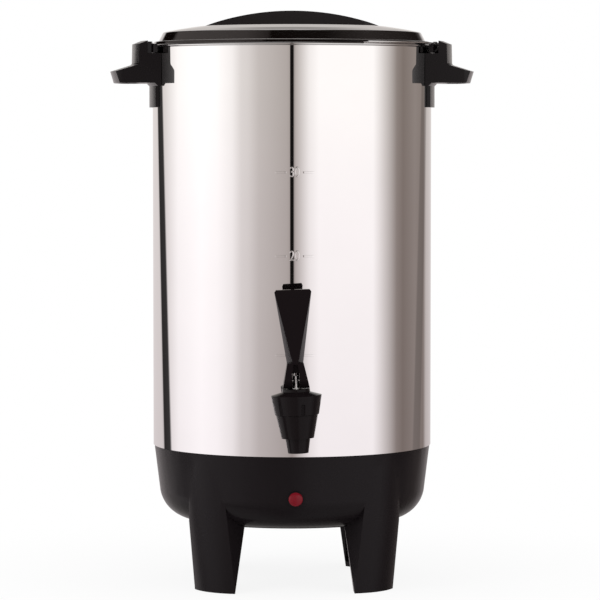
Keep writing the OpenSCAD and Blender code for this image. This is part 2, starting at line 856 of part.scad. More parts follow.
module tap_bonnet() {
    color([0.1, 0.1, 0.1])
    at_tap() difference() {
        union() {
            rotate_extrude() polygon([
                [0, body_top + 0.1], [bonnet_r - 2.1, body_top + 0.1], [bonnet_r, roof_z],
                [8.6, neck_z], [8.4, neck_z], [8.4, collar_z], [0, collar_z]
            ]);
        }
        // room for the tap's neck, and the stem's bore
        translate([0, 0, body_top - 1]) cylinder(r = chamber_r + 2.2 + pin_gap, h = neck_top - body_top + 1.2);
        translate([0, 0, 0]) cylinder(r = stem_r + pin_gap, h = 60);
        // grip notches
        for (i = [0 : bonnet_notches - 1]) rotate([0, 0, (i + 0.5) * 360 / bonnet_notches])
            translate([bonnet_r + 0.6, 0, body_top - 1]) cylinder(r = 1.9, h = 8.4);
    }
}

module tap_stem() {
    color("silver")
    at_tap() difference() {
        union() {
            translate([0, 0, seat_z + 2]) cylinder(r = stem_r, h = stem_top - seat_z - 2);
            // collar that the spring pushes on
            translate([0, 0, seat_z + cup_t + 0.6]) cylinder(r = 5.6, h = 1.4);
        }
        translate([-10, 0, pin_z]) rotate([0, 90, 0]) cylinder(r = pin_r + 0.02, h = 20);
    }
}

// The soft cup that closes the outlet
module seat_cup() {
    color("ghostwhite")
    at_tap() difference() {
        translate([0, 0, seat_z + run_gap]) union() {
            cylinder(r1 = 5.8, r2 = 6.8, h = 2);
            translate([0, 0, 2]) cylinder(r = 6.8, h = cup_t - 2 + 0.2);
        }
        translate([0, 0, seat_z + 2 - pin_gap]) cylinder(r = stem_r + pin_gap, h = 20);
    }
}

// A coil that stands between the stem's collar and the underside of the bonnet
spring_r = 4.6;
spring_wire = 0.5;
spring_turns = 4;
spring_z0 = seat_z + cup_t + 2 + spring_wire + 0.15;
spring_z1 = neck_top + 0.2 - spring_wire - 0.15;
module tap_spring() {
    steps = 16;
    sides = 8;
    rings = spring_turns * steps;
    lead = (spring_z1 - spring_z0) / rings;
    tilt = atan(lead / (2 * PI * spring_r / steps));
    points = [for (i = [0 : rings], j = [0 : sides - 1])
        let (a = 360 * i / steps, b = 360 * j / sides,
             out = spring_r + spring_wire * cos(b),
             up = spring_wire * sin(b))
        [out * cos(a) + up * sin(tilt) * sin(a),
         out * sin(a) - up * sin(tilt) * cos(a),
         spring_z0 + i * lead + up * cos(tilt)]];
    faces = concat(
        [[for (j = [0 : sides - 1]) j]],
        [for (i = [0 : rings - 1], j = [0 : sides - 1])
            let (k = (j + 1) % sides)
            [i * sides + j, (i + 1) * sides + j, (i + 1) * sides + k, i * sides + k]],
        [[for (j = [sides - 1 : -1 : 0]) rings * sides + j]]
    );
    color("silver") at_tap() polyhedron(points, faces, convexity = 8);
}

// Heel of the lever: an involute, so the pin rises evenly as the lever tips
cam_steps = 12;
function cam_point(a) =
    let (turn = a * PI / 180, p = cam_d + cam_rate * turn)
    [-p * sin(a) - cam_rate * cos(a), -p * cos(a) + cam_rate * sin(a)];

module lever_side() {
    polygon(concat(
        [[4.6, -cam_d + 1.2], [3.2, -cam_d]],
        [for (i = [0 : cam_steps]) cam_point((lever_swing + 4) * i / cam_steps)],
        [[-7.4, 5.2], [-5, waist_z], [4.4, waist_z], [4.6, 8]]
    ));
}

waist_z = 10.7;
module lever_front() {
    polygon([
        [-lever_foot_w / 2, -10], [lever_foot_w / 2, -10], [lever_foot_w / 2, -4],
        [lever_waist_w / 2, waist_z], [-lever_waist_w / 2, waist_z], [-lever_foot_w / 2, -4]
    ]);
}

// A slice of the lever's blade, wider at its back than at its front
module blade_slice(z, front_w, back_w, y0, y1) {
    translate([0, 0, z]) linear_extrude(0.1)
        polygon([[-front_w / 2, y0], [front_w / 2, y0], [back_w / 2, y1], [-back_w / 2, y1]]);
}

module tap_lever() {
    color([0.1, 0.1, 0.1])
    at_tap() translate([0, 0, pin_z]) difference() {
        union() {
            intersection() {
                translate([-20, 0, 0]) rotate([90, 0, 90]) linear_extrude(40) lever_side();
                translate([0, 20, 0]) rotate([90, 0, 0]) linear_extrude(40) lever_front();
            }
            // the blade's flat front runs down to a ridge at the waist
            hull() {
                blade_slice(waist_z - 0.2, 1.2, lever_waist_w, -5, 4.4);
                blade_slice(lever_l - 1.4, lever_top_w, lever_top_w, -3.6, 2.6);
                blade_slice(lever_l - 0.1, lever_top_w - 2, lever_top_w - 2, -2.6, 1.6);
            }
        }
        // groove below the waist
        translate([0, -4.2, 0]) rotate([90, 0, 0]) linear_extrude(20)
            polygon([[-0.5, waist_z - 0.8], [0.5, waist_z - 0.8], [fork_gap / 2 + 0.3, 4], [-fork_gap / 2 - 0.3, 4]]);
        // fork slot for the stem
        translate([-fork_gap / 2, -20, -20]) cube([fork_gap, 40, 20 + 4.6]);
        translate([-20, 0, 0]) rotate([0, 90, 0]) cylinder(r = pin_r + pin_gap, h = 40);
    }
}

module lever_pin() {
    color("silver")
    at_tap() translate([-lever_foot_w / 2 + 1.4, 0, pin_z]) rotate([0, 90, 0])
        cylinder(r = pin_r, h = lever_foot_w - 2.8);
}

// ---- pump and basket -----------------------------------------------------

tube_in = tube_r - 0.8;
tube_top = rim_z - 15;
tube_foot = well_z + 1.8;
basket_z = rim_z - basket_drop - basket_h;
plate_pump_z = well_z + 6;
sheet = 0.8;

module pump_tube() {
    color("silver")
    difference() {
        union() {
            translate([0, 0, tube_foot]) cylinder(r = tube_r, h = tube_top - tube_foot);
            // flared end that keeps the valve on
            translate([0, 0, tube_foot]) cylinder(r = tube_r + 3, h = 0.8);
            // bead that carries the basket
            translate([0, 0, basket_z - 1.4]) cylinder(r = tube_r + 3, h = 1.2);
        }
        translate([0, 0, tube_foot - 1]) cylinder(r = tube_in, h = big);
    }
}

module pump_base() {
    color("silver")
    difference() {
        union() {
            ring(well_r - 2, well_r - 1, well_z + seat_gap, plate_pump_z + 1.2);
            ring(0, well_r - 1.5, plate_pump_z, plate_pump_z + 1.2);
            rotate_extrude() polygon([
                [tube_r, plate_pump_z], [tube_r + 5, plate_pump_z + 1], [tube_r + 1.2, plate_pump_z + 7],
                [tube_r, plate_pump_z + 7]
            ]);
        }
        translate([0, 0, plate_pump_z - 1]) cylinder(r = tube_r + 0.02, h = 20);
        // inlets above the valve
        for (i = [0 : 5]) rotate([0, 0, i * 60])
            translate([tube_r + 7.4, 0, plate_pump_z - 1]) cylinder(r = 1.5, h = 6);
        // notches in the skirt
        for (a = [0, 90, 180, 270]) rotate([0, 0, a])
            translate([well_r - 4, -2, well_z]) cube([6, 4, 2.4]);
    }
}

valve_z = tube_foot + 1;
valve_lift = plate_pump_z - valve_z - 1 - 0.3;
module pump_valve() {
    color("gainsboro") ring(tube_r + 0.3, well_r - 3.4, valve_z, valve_z + 1);
}

// Rings of holes through a flat sheet
module perforations(z, radii, counts) {
    for (i = [0 : len(radii) - 1], j = [0 : counts[i] - 1])
        rotate([0, 0, (j + 0.5 * (i % 2)) * 360 / counts[i]])
            translate([radii[i], 0, z]) cylinder(r = perf_r, h = 4, $fn = 24);
}
perf_rings = [0.3 * basket_r, 0.48 * basket_r, 0.66 * basket_r, 0.84 * basket_r];
perf_counts = [8, 12, 16, 20];

module basket() {
    color("gainsboro")
    difference() {
        union() {
            ring(0, basket_r, basket_z, basket_z + sheet);
            ring(basket_r - sheet, basket_r, basket_z, basket_z + basket_h);
            ring(basket_r - sheet, basket_r + 1.4, basket_z + basket_h - 1.2, basket_z + basket_h);
            ring(0, tube_r + 1.4, basket_z, basket_z + basket_h - 8);
        }
        translate([0, 0, basket_z - 1]) cylinder(r = tube_r + run_gap, h = big);
        perforations(basket_z - 1, perf_rings, perf_counts);
    }
}

spreader_z = basket_z + basket_h + seat_gap;
module spreader() {
    color("gainsboro")
    difference() {
        union() {
            ring(0, basket_r + 1.4, spreader_z, spreader_z + sheet);
            ring(basket_r - sheet - 1.6, basket_r - sheet - 0.5, spreader_z - spreader_lip, spreader_z + eps);
            ring(0, tube_r + 1.6, spreader_z, spreader_z + 5);
        }
        translate([0, 0, spreader_z - 1]) cylinder(r = tube_r + run_gap, h = 20);
        perforations(spreader_z - 1, perf_rings, perf_counts);
    }
}

// ---- assembly ------------------------------------------------------------

tank();
tank_studs();
base_shell();
stud_nuts();
base_cover();
cover_screws();
indicator_lens();
lamp_holder();
cord_gland();
heater_plate();
heating_element();
heater_clamp();
thermostat();
thermal_fuse();
terminal_block();
handle_left();
handle_right();
handle_screws();
handle_washers();
lid_shell();
lid_seal();
lid_ears();
lid_rivets();
lid_grip();
grip_screws();
tap_body();
tap_gasket();
tank_gasket();
tap_nut();
tap_bonnet();
tap_stem();
seat_cup();
tap_spring();
tap_lever();
lever_pin();
pump_tube();
pump_base();
pump_valve();
basket();
spreader();
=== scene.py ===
"""Coffee urn: the finished look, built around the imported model, in metres and in its frame."""

import json
import math

import bpy
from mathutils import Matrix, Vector


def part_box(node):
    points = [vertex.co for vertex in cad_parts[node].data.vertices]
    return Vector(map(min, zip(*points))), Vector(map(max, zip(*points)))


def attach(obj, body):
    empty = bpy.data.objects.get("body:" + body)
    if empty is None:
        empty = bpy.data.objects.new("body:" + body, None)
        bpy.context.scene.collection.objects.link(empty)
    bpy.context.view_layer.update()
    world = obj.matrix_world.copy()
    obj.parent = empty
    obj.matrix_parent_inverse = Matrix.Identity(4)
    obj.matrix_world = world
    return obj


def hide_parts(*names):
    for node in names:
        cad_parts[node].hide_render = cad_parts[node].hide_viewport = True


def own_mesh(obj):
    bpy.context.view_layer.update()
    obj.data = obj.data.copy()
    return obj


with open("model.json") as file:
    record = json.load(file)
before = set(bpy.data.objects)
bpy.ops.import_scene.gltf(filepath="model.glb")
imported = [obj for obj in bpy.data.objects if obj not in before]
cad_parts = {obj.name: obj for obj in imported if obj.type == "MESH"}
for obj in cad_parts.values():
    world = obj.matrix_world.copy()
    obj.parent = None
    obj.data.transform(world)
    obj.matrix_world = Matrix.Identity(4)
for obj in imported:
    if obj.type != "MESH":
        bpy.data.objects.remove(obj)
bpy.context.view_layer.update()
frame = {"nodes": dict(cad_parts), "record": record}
nodes = frame["nodes"]

# Sizes and heights in mm, turns and leans in degrees; meshes are in metres
MM = 0.001
TANK_R = 90.0
TANK_WALL = 0.8
SEAM_Z = 88.6
RIM_Z = 346.0
BEAD_R = 0.95
HANDLE_TURNS = (11, -11, 169, 191)
HANDLE_SCREW_Z = RIM_Z - 19
HANDLE_SCREW_R = 2.3
TAP_Y = -126.0
TAP_Z = 111.9
TAP_LEAN = 2.0
LEAN = math.tan(math.radians(TAP_LEAN))
TAP_HOLE_R = 8.3


# ---- camera, floor and studio ----------------------------------------------

# The camera's distance and height in metres, its turns in degrees and its lens in mm
CAMERA_FAR = 2.075
CAMERA_UP = 0.298
CAMERA_SIDE = -1.5
CAMERA_TWIST = -0.143
CAMERA_PITCH = -3.2
CAMERA_LENS = 192.0


def make_camera():
    """A long lens in front of the tap, a little to the left and level with the tank's upper part."""
    turn = math.radians(CAMERA_SIDE)
    bpy.ops.object.camera_add(
        location=(CAMERA_FAR * math.sin(turn), -CAMERA_FAR * math.cos(turn), CAMERA_UP),
        rotation=(math.radians(90 + CAMERA_PITCH), 0, turn + math.radians(CAMERA_TWIST)),
    )
    camera = bpy.context.object
    camera.data.lens = CAMERA_LENS
    camera.data.clip_end = 20
    bpy.context.scene.camera = camera


def linear(tone):
    """A display tone from 0 to 255 as the linear value that it stands for."""
    part = tone / 255
    return part / 12.92 if part <= 0.04045 else ((part + 0.055) / 1.055) ** 2.4


def colour(red, green, blue):
    """Three display tones as an opaque colour."""
    return (linear(red), linear(green), linear(blue), 1.0)


def link(tree, out_socket, in_socket):
    tree.links.new(out_socket, in_socket)


def maths(tree, operation, first, second=None, third=None):
    """A Math node; each operand is a socket or a number."""
    node = tree.nodes.new("ShaderNodeMath")
    node.operation = operation
    for slot, value in zip(node.inputs, (first, second, third)):
        if value is None:
            continue
        if isinstance(value, bpy.types.NodeSocket):
            link(tree, value, slot)
        else:
            slot.default_value = value
    return node.outputs[0]


def stops(tree, factor, pairs):
    """A straight colour ramp over the given (position, colour) pairs."""
    node = tree.nodes.new("ShaderNodeValToRGB")
    elements = node.color_ramp.elements
    while len(elements) < len(pairs):
        elements.new(0.5)
    for element, (position, _) in zip(elements, pairs):
        element.position = position
    for element, (_, tint) in zip(elements, pairs):
        element.color = tint
    link(tree, factor, node.inputs[0])
    return node.outputs[0]


def wall_tone(level):
    """A wall's colour at a level from 0 to 255: the dimmer the wall, the warmer."""
    dim = (255 - level) / 127
    return colour(level, level - 3 - 7 * dim, level - 5 - 11 * dim)


def ceiling_tone(level):
    """The ceiling's colour at a level, slightly warm throughout."""
    return colour(level, level - 4, level - 5)


def round_stops(tree, factor, table, tone):
    """A ramp over levels, by degrees from -180 to 180."""
    return stops(tree, factor, [((turn + 180) / 360, tone(level)) for turn, level in table])


def grey_stops(tree, factor, table, start, span):
    """A ramp over plain shares of light, by degrees from start over a span."""
    return stops(tree, factor, [((d - start) / span, (v, v, v, 1)) for d, v in table])


# The studio's light levels, by degrees to the right of the camera: a pale wall behind the urn,
# a soft box on each side, a grey card in front that is dimmest at the lens, a dim wall on the right
BEHIND = 215
GREY_CARD = [(-42, 220), (-36, 215), (-27, 195), (-4, 175), (0, 160), (3, 180)]
LEFT_BOX = [(-108, 255), (-80, 265), (-64, 260), (-50, 245)]
RIGHT_BOX = [(14, 240), (22, 255), (70, 255), (82, 210)]
DIM_WALL = [(96, 140), (104, 125), (122, 140), (140, 130)]
STUDIO = [
    (-180, BEHIND), (-130, BEHIND), *LEFT_BOX, *GREY_CARD, *RIGHT_BOX, *DIM_WALL,
    (147, 190), (180, BEHIND),
]
# The dark ceiling above them, lit a little on the left and pale behind the urn
CEILING = [
    (-180, 190), (-161, 190), (-156, 10), (-137, 10), (-132, 65), (-54, 55), (-28, 35), (-25, 10),
    (40, 15), (86, 40), (150, 25), (158, 70), (166, 185), (180, 190),
]
# Shares of light by elevation, with the share that goes from green to blue
WALL_LIGHT = [
    (-90, 0.3, 0), (-30, 0.5, 0), (-14, 0.8, 0.03), (-5.5, 0.87, 0.03), (-1.5, 0.94, 0.02),
    (1.5, 1, 0), (4, 1, 0), (10, 0.7, 0), (16, 0.72, 0), (19, 0.54, 0), (23, 0.24, 0), (90, 0.5, 0),
]
CEILING_SHARE = [(-90, 0), (22, 0), (26, 1), (64, 1), (73, 0), (90, 0)]
# The far edges of the soft boxes and the low corners of the ceiling, by degrees from the camera
BOX_EDGE = [(0, 1), (132, 1), (134.5, 0.05), (145.5, 0.04), (147.5, 0.9), (151, 1), (180, 1)]
CORNER_DROP = [(0, 0), (70, 0), (100, 0.04), (132, 0.11), (167, 0.11), (174, 0), (180, 0)]
BOX_LEAN = -2.36
BOX_LEAN_TOP = 3
RIGHT_EDGE_SHARE = 0.3
# The dark slit in front, which ends below eye level
SLIT = [(-1.8, 1), (-1.35, 0.02), (1.15, 0.02), (1.7, 0.78), (3, 1)]
SLIT_SPAN = 10
SLIT_END = -3.6
STEEL_GAIN = 1.22
SOFT_GAIN = 0.75


def tinted(tree, how, factor, first, second):
    """Two colours multiplied or mixed by a factor that is a socket or a number."""
    node = tree.nodes.new("ShaderNodeMix")
    node.data_type = "RGBA"
    node.blend_type = how
    if isinstance(factor, bpy.types.NodeSocket):
        link(tree, factor, node.inputs["Factor"])
    else:
        node.inputs["Factor"].default_value = factor
    link(tree, first, node.inputs["A"])
    link(tree, second, node.inputs["B"])
    return node.outputs["Result"]


def studio_light(tree):
    """The walls, soft boxes and ceiling that the steel mirrors, by direction from the urn."""
    direction = tree.nodes.new("ShaderNodeTexCoord")
    split = tree.nodes.new("ShaderNodeSeparateXYZ")
    link(tree, direction.outputs["Generated"], split.inputs[0])
    ahead = maths(tree, "MULTIPLY", split.outputs[1], -1.0)
    heading = maths(tree, "ARCTAN2", split.outputs[0], ahead)
    side = maths(tree, "SUBTRACT", heading, math.radians(CAMERA_SIDE))
    side = maths(tree, "WRAP", side, math.pi, -math.pi)
    height = maths(tree, "ARCSINE", split.outputs[2])
    sweep = maths(tree, "MULTIPLY_ADD", side, 0.5 / math.pi, 0.5)
    walls = round_stops(tree, sweep, STUDIO, wall_tone)
    # the far edge of each soft box leans, up to a little above eye level
    away = maths(tree, "ABSOLUTE", side)
    held = maths(tree, "MINIMUM", height, math.radians(BOX_LEAN_TOP))
    lean = maths(tree, "MULTIPLY_ADD", held, BOX_LEAN, away)
    gaps = grey_stops(tree, maths(tree, "MULTIPLY", lean, 1 / math.pi), BOX_EDGE, 0, 180)
    lift = maths(tree, "MULTIPLY_ADD", height, 1 / math.pi, 0.5)
    low = stops(tree, lift, [
        ((d + 90) / 180, (v, v * (1 - pink), v * (1 + pink / 3), 1)) for d, v, pink in WALL_LIGHT
    ])
    # the ceiling comes lower at the two far corners
    corners = grey_stops(tree, maths(tree, "MULTIPLY", away, 1 / math.pi), CORNER_DROP, 0, 180)
    above = grey_stops(tree, maths(tree, "ADD", lift, corners), CEILING_SHARE, -90, 180)
    overhead = round_stops(tree, sweep, CEILING, ceiling_tone)
    across = maths(tree, "MULTIPLY_ADD", side, 180 / (math.pi * SLIT_SPAN), 0.5)
    slit = grey_stops(tree, across, SLIT, -SLIT_SPAN / 2, SLIT_SPAN)
    below = maths(tree, "LESS_THAN", height, math.radians(SLIT_END))
    left = maths(tree, "LESS_THAN", side, 0.0)
    depth = maths(tree, "MULTIPLY_ADD", left, 1 - RIGHT_EDGE_SHARE, RIGHT_EDGE_SHARE)
    walls = tinted(tree, "MULTIPLY", depth, walls, gaps)
    walls = tinted(tree, "MULTIPLY", 1.0, walls, low)
    walls = tinted(tree, "MULTIPLY", maths(tree, "SUBTRACT", 1.0, below), walls, slit)
    return tinted(tree, "MIX", above, walls, overhead)


def make_studio():
    """The world: the studio in the steel, an even light on matt surfaces and white for the camera."""
    world = bpy.data.worlds.new("studio")
    bpy.context.scene.world = world
    world.use_nodes = True
    tree = world.node_tree
    tree.nodes.clear()
    mirror = tree.nodes.new("ShaderNodeBackground")
    link(tree, studio_light(tree), mirror.inputs["Color"])
    mirror.inputs["Strength"].default_value = STEEL_GAIN
    plain = tree.nodes.new("ShaderNodeBackground")
    plain.inputs["Color"].default_value = (1, 1, 1, 1)
    plain.inputs["Strength"].default_value = SOFT_GAIN
    white = tree.nodes.new("ShaderNodeBackground")
    white.inputs["Color"].default_value = (1, 1, 1, 1)
    rays = tree.nodes.new("ShaderNodeLightPath")
    glossy = tree.nodes.new("ShaderNodeMixShader")
    link(tree, rays.outputs["Is Glossy Ray"], glossy.inputs[0])
    link(tree, plain.outputs[0], glossy.inputs[1])
    link(tree, mirror.outputs[0], glossy.inputs[2])
    backdrop = tree.nodes.new("ShaderNodeMixShader")
    clear = maths(tree, "MAXIMUM", rays.outputs["Is Camera Ray"], rays.outputs["Is Transmission Ray"])
    link(tree, clear, backdrop.inputs[0])
    link(tree, glossy.outputs[0], backdrop.inputs[1])
    link(tree, white.outputs[0], backdrop.inputs[2])
    out = tree.nodes.new("ShaderNodeOutputWorld")
    link(tree, backdrop.outputs[0], out.inputs["Surface"])


def make_floor():
    """A pale floor that keeps the shadow, fades into the white and isn't seen in the steel."""
    bpy.ops.object.select_all(action="DESELECT")
    bpy.ops.mesh.primitive_circle_add(vertices=96, radius=0.9, fill_type="NGON", location=(0, 0, 0))
    floor = bpy.context.object
    floor.name = "floor"
    paint = bpy.data.materials.new("pale_floor")
    paint.use_nodes = True
    tree = paint.node_tree
    tree.nodes.clear()
    matt = tree.nodes.new("ShaderNodeBsdfDiffuse")
    matt.inputs["Color"].default_value = (0.9, 0.9, 0.9, 1)
    glow = tree.nodes.new("ShaderNodeEmission")
    rays = tree.nodes.new("ShaderNodeLightPath")
    mix = tree.nodes.new("ShaderNodeMixShader")
    # the share of plain white grows with the distance from the middle
    spot = tree.nodes.new("ShaderNodeTexCoord").outputs["Object"]
    size = tree.nodes.new("ShaderNodeVectorMath")
    size.operation = "LENGTH"
    link(tree, spot, size.inputs[0])
    fade = tree.nodes.new("ShaderNodeMapRange")
    fade.interpolation_type = "SMOOTHSTEP"
    for socket, value in (("From Min", 0.06), ("From Max", 0.34), ("To Min", 0.88), ("To Max", 1.0)):
        fade.inputs[socket].default_value = value
    link(tree, size.outputs["Value"], fade.inputs["Value"])
    share = maths(tree, "MULTIPLY", rays.outputs["Is Camera Ray"], fade.outputs["Result"])
    out = tree.nodes.new("ShaderNodeOutputMaterial")
    link(tree, share, mix.inputs[0])
    link(tree, matt.outputs[0], mix.inputs[1])
    link(tree, glow.outputs[0], mix.inputs[2])
    # in the steel the walls run on below eye level, so the floor has no edge there
    through = tree.nodes.new("ShaderNodeMixShader")
    link(tree, rays.outputs["Is Glossy Ray"], through.inputs[0])
    link(tree, mix.outputs[0], through.inputs[1])
    link(tree, tree.nodes.new("ShaderNodeBsdfTransparent").outputs[0], through.inputs[2])
    link(tree, through.outputs[0], out.inputs["Surface"])
    floor.data.materials.append(paint)


def make_lamp(name, spot, target, size, power):
    """A soft box that lights the matt surfaces and isn't seen in the steel."""
    bpy.ops.object.light_add(type="AREA", location=spot)
    lamp = bpy.context.object
    lamp.name = name
    lamp.data.shape = "DISK"
    lamp.data.size = size
    lamp.data.energy = power
    lamp.visible_camera = False
    lamp.visible_glossy = False
    aim = Vector(target) - Vector(spot)
    lamp.rotation_euler = aim.to_track_quat("-Z", "Y").to_euler()


bpy.context.scene.view_settings.view_transform = "Standard"
make_camera()
make_studio()
make_floor()
make_lamp("left_box", (-1.1, -1.0, 1.3), (0, 0, 0.2), 0.9, 9)
make_lamp("right_box", (1.2, -0.7, 1.1), (0, 0, 0.2), 0.7, 4)


# ---- modelling helpers ---------------------------------------------------------


def nothing_selected():
    if bpy.context.object and bpy.context.object.mode != "OBJECT":
        bpy.ops.object.mode_set(mode="OBJECT")
    bpy.ops.object.select_all(action="DESELECT")


def choose(piece):
    nothing_selected()
    piece.select_set(True)
    bpy.context.view_layer.objects.active = piece


def edit(piece):
    choose(piece)
    bpy.ops.object.mode_set(mode="EDIT")


def done():
    bpy.ops.object.mode_set(mode="OBJECT")


def weld(gap=0.002):
    """In edit mode: merges the points that are within a gap in mm."""
    bpy.ops.mesh.select_all(action="SELECT")
    bpy.ops.mesh.remove_doubles(threshold=gap * MM)


def close_seams():
    """In edit mode: merges what coincides and turns the faces outwards."""
    weld()
    bpy.ops.mesh.normals_make_consistent(inside=False)


def smooth(piece, angle=32):
    """Drops faces without area, then shades smooth up to an angle and keeps flat faces flat."""
    edit(piece)
    weld()
    choose(piece)
    bpy.ops.object.shade_smooth_by_angle(angle=math.radians(angle))
    even = piece.modifiers.new("even", "WEIGHTED_NORMAL")
    even.keep_sharp = True
    even.weight = 60
    apply(piece, even)


def apply(piece, modifier):
    choose(piece)
    bpy.ops.object.modifier_apply(modifier=modifier.name)


def finish_place(piece):
    """Puts a piece's place into its mesh, so that its object sits at the origin."""
    choose(piece)
    bpy.ops.object.transform_apply(location=True, rotation=True, scale=True)


def draw_line(name, points):
    """A chain of points in the XZ plane, in mm, drawn from one vertex; stays in edit mode."""
    nothing_selected()
    bpy.ops.mesh.primitive_plane_add(size=1 * MM, location=(0, 0, 0))
    piece = bpy.context.object
    piece.name = name
    bpy.ops.object.mode_set(mode="EDIT")
    bpy.ops.mesh.merge(type="CENTER")
    x, z = points[0]
    bpy.ops.transform.translate(value=(x * MM, 0, z * MM))
    for x_next, z_next in points[1:]:
        step = ((x_next - x) * MM, 0, (z_next - z) * MM)
        bpy.ops.mesh.extrude_region_move(TRANSFORM_OT_translate={"value": step})
        x, z = x_next, z_next
    return piece


def lathe(name, points, steps=256):
    """Spins a half outline of (radius, height) points, in mm, round the tank's axis."""
    piece = draw_line(name, points)
    bpy.ops.mesh.select_all(action="SELECT")
    bpy.ops.mesh.spin(steps=steps, angle=2 * math.pi, center=(0, 0, 0), axis=(0, 0, 1))
    close_seams()
    done()
    return piece


def arc(cx, cz, r, a0, a1, count):
    """Points on an arc in the outline's plane, in mm and degrees."""
    return [
        (cx + r * math.cos(math.radians(a0 + (a1 - a0) * i / count)),
         cz + r * math.sin(math.radians(a0 + (a1 - a0) * i / count)))
        for i in range(count + 1)
    ]


def eased(points, reach, steps=4):
    """An outline whose inner corners are rounded over reach mm, or over a point's own third value."""
    path = [points[0][:2]]
    for before, here, after in zip(points, points[1:], points[2:]):
        ends, corner = [], here[:2]
        for other in (before[:2], after[:2]):
            length = math.dist(corner, other)
            share = min(here[2] if len(here) > 2 else reach, 0.45 * length) / length
            ends.append([c + (o - c) * share for c, o in zip(corner, other)])
        for i in range(steps + 1):
            t = i / steps
            path.append(tuple(
                (1 - t) ** 2 * a + 2 * t * (1 - t) * c + t * t * b
                for a, c, b in zip(ends[0], corner, ends[1])
            ))
    return path + [points[-1][:2]]


def merged_copy(node, name):
    """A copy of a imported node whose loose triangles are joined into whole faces."""
    piece = nodes[node].copy()
    piece.data = nodes[node].data.copy()
    piece.name = name
    for key in list(piece.keys()):
        del piece[key]
    bpy.context.scene.collection.objects.link(piece)
    edit(piece)
    weld(0.004)
    bpy.ops.mesh.dissolve_limited(angle_limit=math.radians(0.6))
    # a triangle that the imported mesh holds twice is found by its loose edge
    bpy.ops.mesh.select_mode(type="EDGE")
    bpy.ops.mesh.select_all(action="DESELECT")
    bpy.ops.mesh.select_non_manifold(
        use_wire=False, use_multi_face=False, use_non_contiguous=False, use_verts=False)
    bpy.ops.mesh.delete(type="EDGE")
    bpy.ops.mesh.select_mode(type="VERT")
    done()
    return piece


def round_edges(piece, width, segments=2, angle=35):
    """A small rounding on the hard edges, as a moulding has."""
    bevel = piece.modifiers.new("edges", "BEVEL")
    bevel.width = width * MM
    bevel.segments = segments
    bevel.limit_method = "ANGLE"
    bevel.angle_limit = math.radians(angle)
    apply(piece, bevel)


def cut(piece, cutter):
    """Takes the cutter's shape out of a piece and removes the cutter."""
    boolean = piece.modifiers.new("cut", "BOOLEAN")
    boolean.operation = "DIFFERENCE"
    boolean.solver = "EXACT"
    boolean.object = cutter
    apply(piece, boolean)
    bpy.data.objects.remove(cutter)


def place(piece, body, slot, paint, *replaced):
    """Gives a piece its body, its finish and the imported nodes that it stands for."""
    piece.data.materials.clear()
    piece.data.materials.append(paint)
    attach(piece, body)
    if replaced:
        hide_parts(*replaced)


# ---- finishes --------------------------------------------------------------------


def group_of(name, inputs, outputs):
    """An empty shader group with the given number and vector sockets."""
    group = bpy.data.node_groups.new(name, "ShaderNodeTree")
    for label, start in inputs:
        socket = group.interface.new_socket(label, in_out="INPUT", socket_type="NodeSocketFloat")
        socket.default_value = start
    for label, kind in outputs:
        group.interface.new_socket(label, in_out="OUTPUT", socket_type=kind)
    return group, group.nodes.new("NodeGroupInput"), group.nodes.new("NodeGroupOutput")


def noise(tree, vector, scale, detail=2.0, rough=0.5):
    """A Noise texture; the scale is a number or a socket."""
    node = tree.nodes.new("ShaderNodeTexNoise")
    node.inputs["Detail"].default_value = detail
    node.inputs["Roughness"].default_value = rough
    if isinstance(scale, bpy.types.NodeSocket):
        link(tree, scale, node.inputs["Scale"])
    else:
        node.inputs["Scale"].default_value = scale
    link(tree, vector, node.inputs["Vector"])
    return node.outputs["Fac"]


def make_grain_group():
    """The fine pebbled grain of a moulding, and its slow drift in tone."""
    group, given, made = group_of(
        "moulding_grain",
        [("Size", 1800.0), ("Drift", 14.0)],
        [("Height", "NodeSocketFloat"), ("Tone", "NodeSocketFloat"), ("Sheen spread", "NodeSocketFloat")],
    )
    spot = group.nodes.new("ShaderNodeTexCoord").outputs["Object"]
    fine = noise(group, spot, given.outputs["Size"], 3.0, 0.6)
    slow = noise(group, spot, given.outputs["Drift"], 3.0, 0.55)
    link(group, fine, made.inputs["Height"])
    link(group, slow, made.inputs["Tone"])
    link(group, maths(group, "MULTIPLY_ADD", fine, 0.35, slow), made.inputs["Sheen spread"])
    return group


def make_brushing_group():
    """Long faint brush lines that run up a sheet, with handling marks over them."""
    group, given, made = group_of(
        "sheet_brushing",
        [("Across", 900.0), ("Along", 6.0), ("Marks", 22.0)],
        [("Height", "NodeSocketFloat"), ("Lines", "NodeSocketFloat"), ("Haze", "NodeSocketFloat")],
    )
    spot = group.nodes.new("ShaderNodeTexCoord").outputs["Object"]
    scales = group.nodes.new("ShaderNodeCombineXYZ")
    link(group, given.outputs["Across"], scales.inputs[0])
    link(group, given.outputs["Across"], scales.inputs[1])
    link(group, given.outputs["Along"], scales.inputs[2])
    stretch = group.nodes.new("ShaderNodeVectorMath")
    stretch.operation = "MULTIPLY"
    link(group, spot, stretch.inputs[0])
    link(group, scales.outputs[0], stretch.inputs[1])
    lines = noise(group, stretch.outputs[0], 1.0, 4.0, 0.6)
    marks = noise(group, spot, given.outputs["Marks"], 5.0, 0.6)
    link(group, lines, made.inputs["Height"])
    link(group, lines, made.inputs["Lines"])
    link(group, marks, made.inputs["Haze"])
    return group


def spread(tree, value, low, high, start=0.3, end=0.7):
    """Maps a mask from start..end to low..high, clamped."""
    node = tree.nodes.new("ShaderNodeMapRange")
    node.inputs["From Min"].default_value = start
    node.inputs["From Max"].default_value = end
    node.inputs["To Min"].default_value = low
    node.inputs["To Max"].default_value = high
    link(tree, value, node.inputs["Value"])
    return node.outputs["Result"]


